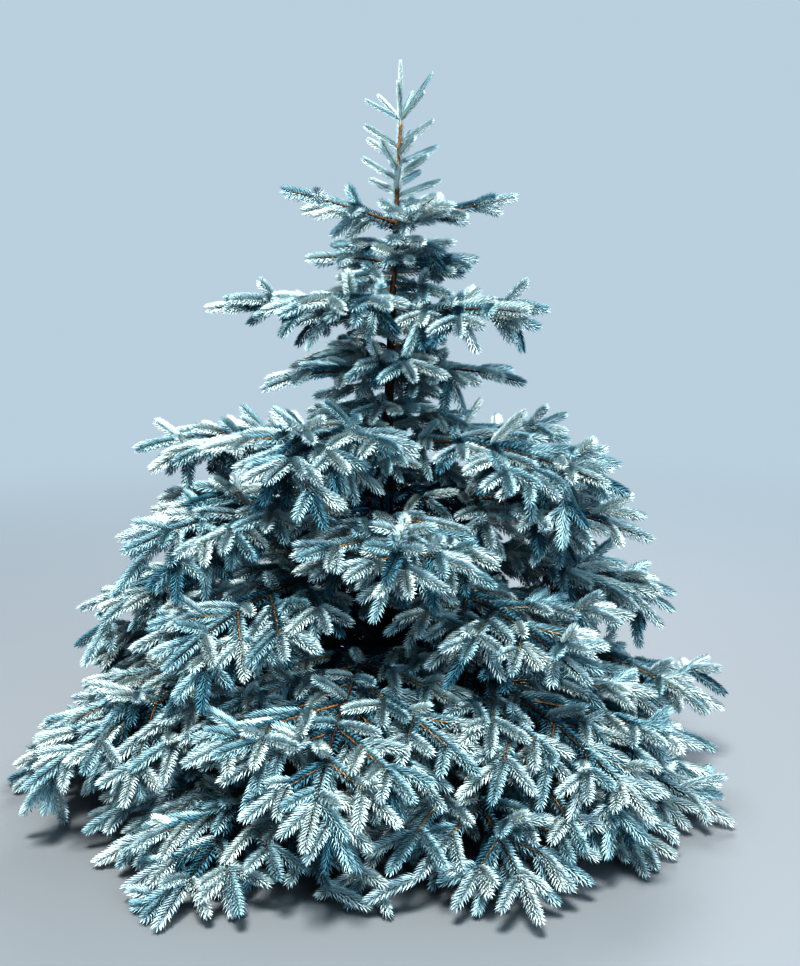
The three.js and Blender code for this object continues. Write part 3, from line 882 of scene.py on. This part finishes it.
def scaly_bark(name, low, high, turns, plate, depth):
    """Spruce bark: thin grey-brown scales with dark cracks between them, browner where the wood is young."""
    material, shader = new_material(name, Roughness=0.88, Specular_IOR_Level=0.3)
    coords = add_node(material, "ShaderNodeTexCoord")
    split = add_node(material, "ShaderNodeSeparateXYZ", links={"Vector": (coords, "Object")})
    heights = {"From Min": turns[0], "From Max": turns[1]}
    young = add_node(material, "ShaderNodeMapRange", heights, {"Value": (split, "Z")})
    stretch = {"Scale": (1, 1, BARK_LENGTHWISE)}
    mapping = add_node(material, "ShaderNodeMapping", stretch, {"Vector": (coords, "Object")})
    scale, place = {"Scale": 1 / plate}, {"Vector": (mapping, "Vector")}
    plates = add_node(material, "ShaderNodeTexVoronoi", scale, place, feature="DISTANCE_TO_EDGE")
    edge = {"From Max": 0.16, "To Min": 0.35}
    cracks = add_node(material, "ShaderNodeMapRange", edge, {"Value": (plates, "Distance")})
    fine = {"Scale": GRAIN_FINER / plate, "Detail": 5.0}
    grain = add_node(material, "ShaderNodeTexNoise", fine, place)
    ends = {MIX_A: (*low, 1), MIX_B: (*high, 1)}
    base = add_node(material, "ShaderNodeMix", ends, {MIX_SHARE: (young, "Result")}, data_type="RGBA")
    weathered = add_node(
        material,
        "ShaderNodeMix",
        {MIX_B: (*linear(WEATHERED), 1)},
        {MIX_SHARE: (grain, "Fac"), MIX_A: (base, MIX_OUT)},
        data_type="RGBA",
        blend_type="OVERLAY",
    )
    dark = add_node(
        material,
        "ShaderNodeMix",
        {MIX_SHARE: 1.0},
        {MIX_A: (weathered, MIX_OUT), MIX_B: (cracks, "Result")},
        data_type="RGBA",
        blend_type="MULTIPLY",
    )
    rough = {"Strength": 0.6, "Distance": depth}
    bump = add_node(material, "ShaderNodeBump", rough, {"Height": (grain, "Fac")})
    feed(material, shader, Base_Color=(dark, MIX_OUT), Normal=(bump, "Normal"))
    return material


def twig_bark(name, colour, ridge):
    """Young twig bark: hard and hairless, ribbed by the pegs that the needles stood on."""
    material, shader = new_material(name, Roughness=0.6)
    coords = add_node(material, "ShaderNodeTexCoord")
    pegs = add_node(material, "ShaderNodeTexVoronoi", {"Scale": 1 / PEG}, {"Vector": (coords, "Object")})
    ends = {MIX_A: (*colour, 1), MIX_B: (*ridge, 1)}
    colours = add_node(material, "ShaderNodeMix", ends, {MIX_SHARE: (pegs, "Distance")}, data_type="RGBA")
    ribs = {"Strength": 0.5, "Distance": PEG_HEIGHT}
    bump = add_node(material, "ShaderNodeBump", ribs, {"Height": (pegs, "Distance")})
    feed(material, shader, Base_Color=(colours, MIX_OUT), Normal=(bump, "Normal"))
    return material


# Sizes and colours that a user would change


def colour_property(name, description, default):
    return FloatVectorProperty(
        name=name, description=description, subtype="COLOR", size=3, min=0, max=1, default=linear(default)
    )


def number_property(name, description, default, least=0, **kind):
    return FloatProperty(name=name, description=description, default=default, min=least, **kind)


def length_property(name, description, default):
    return number_property(name, description, default, unit="LENGTH", precision=4)


def chance_property(name, description, default):
    return number_property(name, description, default, max=1, subtype="FACTOR")


def power_property(name, description, default):
    return number_property(name, description, default, unit="POWER")


class GrowthSettings(bpy.types.PropertyGroup):
    rising: chance_property("Rising shoots", "Chance of a shoot above a fork", 0.5)
    hanging: chance_property("Hanging shoots", "Chance of each shoot below a fork", 0.62)
    between: chance_property("Side shoots", "Chance of each shoot to the side of a fork", 0.45)


class NeedleSettings(bpy.types.PropertyGroup):
    length: length_property("Length", "Length of a full-grown needle", 25.5 * MM)
    width: length_property("Width", "Width of each of a needle's two faces", 2.65 * MM)
    per_metre: number_property("Per metre", "Needles on a metre of young twig", 1260, least=10)
    lift: number_property("Lift", "How far the needles of a level twig turn upwards", 0.2)
    frost: colour_property("Frost", "Young needles with the thickest bloom", "#98a8ad")
    frost_bloom: colour_property("Frost bloom", "The palest of them", "#b4c2c5")
    silver: colour_property("Silver", "Young needles in full bloom", "#879ba4")
    silver_bloom: colour_property("Silver bloom", "The palest of them", "#a6b8be")
    # blue and old also go to hanging shoots more than to others, where their darkness is painted shade
    blue: colour_property("Blue", "Young needles with less bloom", "#6e8b96")
    blue_bloom: colour_property("Blue bloom", "The palest of them", "#8ea8b1")
    old: colour_property("Old", "Needles of earlier years", "#355866")
    old_bloom: colour_property("Old bloom", "The palest of them", "#4c7382")
    # the shade tint is mostly painted shade: needles darkened where the crown shades itself, with some real
    # loss of bloom on needles grown in shade
    shade: colour_property("Shade", "Needles in the crown's own shade", "#193d4d")
    shade_bloom: colour_property("Shade bloom", "The palest of them", "#2d5568")


class BarkSettings(bpy.types.PropertyGroup):
    plate: length_property("Plate", "Width of a scale of bark on the trunk", 11 * MM)
    relief: length_property("Relief", "How far the trunk's scales stand out", 1.6 * MM)
    old: colour_property("Old bark", "Bark at the foot of the trunk", "#4c3f38")
    young: colour_property("Young bark", "Bark of the leader", "#835e31")
    shoot: colour_property("Shoot", "Skin of this year's shoots", "#6b7468")
    shoot_ridge: colour_property("Shoot ridges", "Pegs on them", "#868c80")
    twig: colour_property("Twig bark", "Bark of last year's twigs", "#805a35")
    twig_ridge: colour_property("Twig ridges", "Pegs on last year's twigs", "#a37b4b")
    old_twig: colour_property("Old twig bark", "Bark of older twigs", "#5d4735")
    limb: colour_property("Limb bark", "Bark of the lower limbs", "#4f4037")
    young_limb: colour_property("Young limb bark", "Bark of the highest limbs", "#7a5c40")
    scales: colour_property("Bud scales", "Scales round the foot of a shoot", "#b5652b")


class StudioSettings(bpy.types.PropertyGroup):
    floor: colour_property("Floor", "The plain floor", "#5a6066")
    sky: colour_property("Surround", "The light that comes from all round", "#d0e0eb")
    surround: number_property("Surround strength", "Strength of that light", 0.56)
    key: power_property("Key light", "The main light, from high up in front and a little to the left", 3600)
    key_colour: colour_property("Key colour", "Colour of the main light", "#fff6eb")
    fill: power_property("Fill light", "The softer light from the front", 230)
    fill_colour: colour_property("Fill colour", "Colour of the softer light", "#c8e2ea")
    back: power_property("Back light", "The light from behind", 600)
    back_colour: colour_property("Back colour", "Colour of that light", "#ffffff")
    floor_radius: length_property("Floor radius", "Radius of the round floor", 60.0)
    fade_from: length_property("Fade from", "Where the floor starts to fade into the surround", 0.5)
    fade_to: length_property("Fade to", "Where it has done so", 7.5)
    lens: number_property("Lens", "Focal length on a 36 mm long side", 50.57, least=1, unit="CAMERA")


# Pieces


class SPRUCE_OT_trunk(bpy.types.Operator):
    """The trunk, with its scaly bark, root flare and lean"""

    bl_idname = "spruce.trunk"
    bl_label = "Trunk"

    def execute(self, context):
        settings = context.scene.spruce_bark

        def radius_of(t, angle, place):
            z = t * TRUNK_HEIGHT
            plain = trunk_radius(z, angle)
            depth = settings.relief * min(1.0, plain / TRUNK_FOOT_RADIUS)
            return plain + bark_relief(place, settings.plate, depth)

        made = bark_tube(
            centre_of=lambda t: trunk_centre(t * TRUNK_HEIGHT),
            across=lambda t: (Vector((1, 0, 0)), Vector((0, 1, 0))),
            radius_of=radius_of,
            sides=TRUNK_SIDES,
            rings=TRUNK_RINGS,
            share_of=lambda share: share**TRUNK_RINGS_LOWER,
        )
        plate = settings.plate * TRUNK_PATTERN
        bark = scaly_bark("spruce_trunk_bark", settings.old, settings.young, YOUNG_TRUNK, plate, TRUNK_GRAIN)
        add_piece("trunk_bark", joined_mesh("trunk_bark", [made]), bark, ["trunk"])
        return {"FINISHED"}


class SPRUCE_OT_limbs(bpy.types.Operator):
    """The limbs of every tier, from the trunk to the tip of the crown"""

    bl_idname = "spruce.limbs"
    bl_label = "Limbs"

    def execute(self, context):
        settings = context.scene.spruce_bark
        plate = settings.plate * LIMB_PATTERN
        low, high = settings.limb, settings.young_limb
        bark = scaly_bark("spruce_limb_bark", low, high, YOUNG_LIMB, plate, LIMB_GRAIN)
        for tier in TIERS:
            curves = [curve for limb_tier, curve, _ in limbs() if limb_tier == tier]
            made = [self.limb(curve, tier.radius * MM, settings) for curve in curves]
            name = tier.name + "_limbs"
            add_piece(name, joined_mesh(name, made), bark, nodes_of(tier.name, "bough", "needles"))
        return {"FINISHED"}

    def limb(self, curve, radius, settings):
        length = curve.length()
        sunk = trunk_radius(curve.root.z) * LIMB_SUNK / length

        def radius_of(t, angle, place):
            plain = mix(radius, LIMB_TIP_RADIUS, min(1.0, max(0.0, t) ** LIMB_TAPER))
            collar = radius * COLLAR * math.exp(-max(0.0, t) * length / COLLAR_FADE)
            return plain + collar + bark_relief(place, settings.plate * LIMB_PLATE, plain * LIMB_RELIEF)

        return bark_tube(
            centre_of=lambda t: curve.point(t) if t > 0 else curve.root + curve.slope(0) * t,
            across=lambda t: across_of(curve.along(max(0.0, t))),
            radius_of=radius_of,
            sides=LIMB_SIDES,
            rings=max(LEAST_LIMB_RINGS, round(length / LIMB_RING)),
            share_of=lambda share: mix(-sunk, LIMB_END, share),
        )


class SPRUCE_OT_twigs(bpy.types.Operator):
    """The side twigs of every limb, and the stems of the shoots"""

    bl_idname = "spruce.twigs"
    bl_label = "Twigs"

    def execute(self, context):
        settings = context.scene.spruce_bark
        shoot = twig_bark("spruce_shoot_skin", settings.shoot, settings.shoot_ridge)
        young = twig_bark("young_spruce_twig", settings.twig, settings.twig_ridge)
        old = twig_bark("old_spruce_twig", settings.old_twig, settings.twig)
        for zone in ZONES:
            grown = [g for g in plant() if g.zone == zone and g.order > 0]
            kinds = (
                ("shoot_stems", [g for g in grown if g.age == 0], shoot, STEM_SIDES, SHOOT_STEPS),
                ("young_twigs", [g for g in grown if g.age == 1], young, STEM_SIDES, TWIG_STEPS),
                ("old_twigs", [g for g in grown if g.age > 1], old, OLD_STEM_SIDES, TWIG_STEPS),
            )
            for kind, growth, material, sides, steps in kinds:
                if not growth:
                    continue
                name = f"{zone}_{kind}"
                mesh = mesh_from(name, *tubes(growth, sides, steps))
                mesh.shade_smooth()
                add_piece(name, mesh, material, nodes_of(zone, "needles"))
        return {"FINISHED"}


class SPRUCE_OT_bud_scales(bpy.types.Operator):
    """The ring of papery scales that each shoot leaves at its foot"""

    bl_idname = "spruce.bud_scales"
    bl_label = "Bud scales"

    def execute(self, context):
        settings = context.scene.spruce_bark
        # dry brown scales, whose overlaps show as fine paler ribs
        material = twig_bark("papery_bud_scales", settings.scales, settings.twig_ridge)
        for zone in ZONES:
            growth = [g for g in plant() if g.zone == zone and g.age <= 1]
            name = zone + "_bud_scales"
            mesh = mesh_from(name, *scale_cups(growth))
            add_piece(name, mesh, material, nodes_of(zone, "needles"))
        return {"FINISHED"}


class SPRUCE_OT_needles(bpy.types.Operator):
    """The needles of every shoot and twig, dealt out by shoot to five tints of blue"""

    bl_idname = "spruce.needles"
    bl_label = "Needles"

    def execute(self, context):
        settings = context.scene.spruce_needles
        materials = {}
        for tint, (name, roughness) in TINTS.items():
            colour, bloom = getattr(settings, tint), getattr(settings, tint + "_bloom")
            materials[tint] = waxy_needle(name, colour, bloom, roughness)
        for number, zone in enumerate(ZONES):
            dealt = {tint: [] for tint in materials}
            for index, growth in enumerate(plant()):
                if growth.zone == zone and (growth.order > 0 or growth.age < len(FOLIAGE_BY_AGE)):
                    dealt[self.tint_of(growth, index)].append(growth)
            for tint, growth in dealt.items():
                if not growth:
                    continue
                name = f"{zone}_needles_{tint}"
                coarse = COARSE_IN_SHADE if tint == "shade" else COARSE_ON_LEADER if zone == LEADER else 1
                seed = number * SEEDS_PER_ZONE + len(growth)
                mesh = needle_mesh(name, growth, settings, coarse, seed)
                add_piece(name, mesh, materials[tint], nodes_of(zone, "needles"))
        return {"FINISHED"}

    def tint_of(self, growth, index):
        """Palest at the outside of the crown, blue below and behind it, with darker tints below as painted
        shade, dull on old wood, and dark inside as painted shade.
        """
        drawn = Dice(index + 1).roll()
        # needles near the trunk of the wider tiers take the painted-shade tint
        if growth.out < DEEP_SHADE.get(growth.zone, 0) * (1 + SHADE_EDGE * drawn):
            return "shade"
        if growth.age > 1:
            return "old"
        kind = "outer"
        if growth.zone == LEADER:
            kind = "leader"
        elif growth.age == 1:
            kind = "last_year"
        # hanging shoots take darker tints, as painted shade
        elif growth.under:
            kind = "hanging"
        return next(tint for tint, share in TINTS_OF[kind] if drawn < share)


# Each lamp's place and how wide it is, in metres
KEY_LAMP = ((-1.0, -6.9, 10.3), 2.7)
FILL_LAMP = ((1.6, -5.2, 2.6), 3.0)
BACK_LAMP = ((1.5, 5.5, 5.5), 3.0)
LAMPS_AIM = (0, 0, 0.9)
CAMERA_PLACE = (0.05, -4.1, 1.6)
CAMERA_DOWN = 9.25  # degrees below level
FLOOR_BELOW = 0.5 * MM  # so that it doesn't lie in the trunk's flat cut
FLOOR_SIDES = 96


class SPRUCE_OT_stage(bpy.types.Operator):
    """The floor, the studio light and the camera"""

    bl_idname = "spruce.stage"
    bl_label = "Stage"

    def execute(self, context):
        settings = context.scene.spruce_studio
        self.add_floor(settings)
        self.add_light("key", settings.key, settings.key_colour, *KEY_LAMP)
        self.add_light("fill", settings.fill, settings.fill_colour, *FILL_LAMP)
        self.add_light("back", settings.back, settings.back_colour, *BACK_LAMP)
        context.scene.view_settings.view_transform = "Standard"
        context.scene.view_settings.look = "Very High Contrast"
        world = bpy.data.worlds.new("studio")
        world.use_nodes = True
        background = world.node_tree.nodes["Background"]
        background.inputs["Color"].default_value = (*settings.sky, 1)
        background.inputs["Strength"].default_value = settings.surround
        context.scene.world = world
        camera_data = bpy.data.cameras.new("camera")
        camera_data.lens = settings.lens
        camera = add_object("camera", camera_data)
        camera.location = CAMERA_PLACE
        camera.rotation_euler = (math.radians(90 - CAMERA_DOWN), 0, 0)
        context.scene.camera = camera
        return {"FINISHED"}

    def add_floor(self, settings):
        bm = bmesh.new()
        bmesh.ops.create_circle(bm, cap_ends=True, segments=FLOOR_SIDES, radius=settings.floor_radius)
        bmesh.ops.translate(bm, verts=bm.verts, vec=(0, 0, -FLOOR_BELOW))
        mesh = bpy.data.meshes.new("floor")
        bm.to_mesh(mesh)
        bm.free()
        mesh.materials.append(self.floor_paint(settings))
        add_object("floor", mesh)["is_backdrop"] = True

    def floor_paint(self, settings):
        """Matt floor paint that fades far out into the light of the surround, so that no horizon shows."""
        material, shader = new_material("matt_studio_floor", Base_Color=(*settings.floor, 1), Roughness=0.9)
        coords = add_node(material, "ShaderNodeTexCoord")
        place = {"Vector": (coords, "Object")}
        distance = add_node(material, "ShaderNodeVectorMath", links=place, operation="LENGTH")
        band = {"From Min": settings.fade_from, "From Max": settings.fade_to}
        far = {"Value": (distance, "Value")}
        faded = add_node(material, "ShaderNodeMapRange", band, far, interpolation_type="SMOOTHSTEP")
        light = {"Color": (*settings.sky, 1), "Strength": settings.surround}
        glow = add_node(material, "ShaderNodeEmission", light)
        # the two shaders that are blended go in by number, because their sockets share one name
        blended = {"Fac": (faded, "Result"), 1: (shader, 0), 2: (glow, 0)}
        paint = add_node(material, "ShaderNodeMixShader", links=blended)
        surface = material.node_tree.nodes["Material Output"].inputs["Surface"]
        material.node_tree.links.new(paint.outputs[0], surface)
        return material

    def add_light(self, name, power, colour, place, size):
        light = bpy.data.lights.new(name, "AREA")
        light.energy = power
        light.color = colour
        light.size = size
        lamp = add_object(name, light)
        lamp.location = place
        aim = Vector(LAMPS_AIM) - Vector(place)
        lamp.rotation_euler = aim.to_track_quat("-Z", "Y").to_euler()


class SPRUCE_PT_panel(bpy.types.Panel):
    """Lists the pieces of the tree"""

    bl_idname = "SPRUCE_PT_panel"
    bl_label = "Blue spruce"
    bl_space_type = "VIEW_3D"
    bl_region_type = "UI"
    bl_category = "Spruce"

    def draw(self, context):
        for operator in OPERATORS:
            self.layout.operator(operator.bl_idname)
        for name in SETTINGS:
            box = self.layout.box()
            group = getattr(context.scene, name)
            for key in group.__annotations__:
                box.prop(group, key)


OPERATORS = (
    SPRUCE_OT_stage,
    SPRUCE_OT_trunk,
    SPRUCE_OT_limbs,
    SPRUCE_OT_twigs,
    SPRUCE_OT_bud_scales,
    SPRUCE_OT_needles,
)
SETTINGS = {
    "spruce_growth": GrowthSettings,
    "spruce_needles": NeedleSettings,
    "spruce_bark": BarkSettings,
    "spruce_studio": StudioSettings,
}


def register():
    for item in (*SETTINGS.values(), *OPERATORS, SPRUCE_PT_panel):
        bpy.utils.register_class(item)
    for name, group in SETTINGS.items():
        setattr(bpy.types.Scene, name, PointerProperty(type=group))


def unregister():
    for name in SETTINGS:
        delattr(bpy.types.Scene, name)
    for item in reversed((*SETTINGS.values(), *OPERATORS, SPRUCE_PT_panel)):
        bpy.utils.unregister_class(item)


def main():
    register()
    bpy.ops.spruce.stage()
    bpy.ops.spruce.trunk()
    bpy.ops.spruce.limbs()
    bpy.ops.spruce.twigs()
    bpy.ops.spruce.bud_scales()
    bpy.ops.spruce.needles()
    boxes = {"cad": CAD_BOX, "visual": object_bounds()}
    {name: [list(corner) for corner in box] for name, box in boxes.items()}


if __name__ == "__main__":
    main()
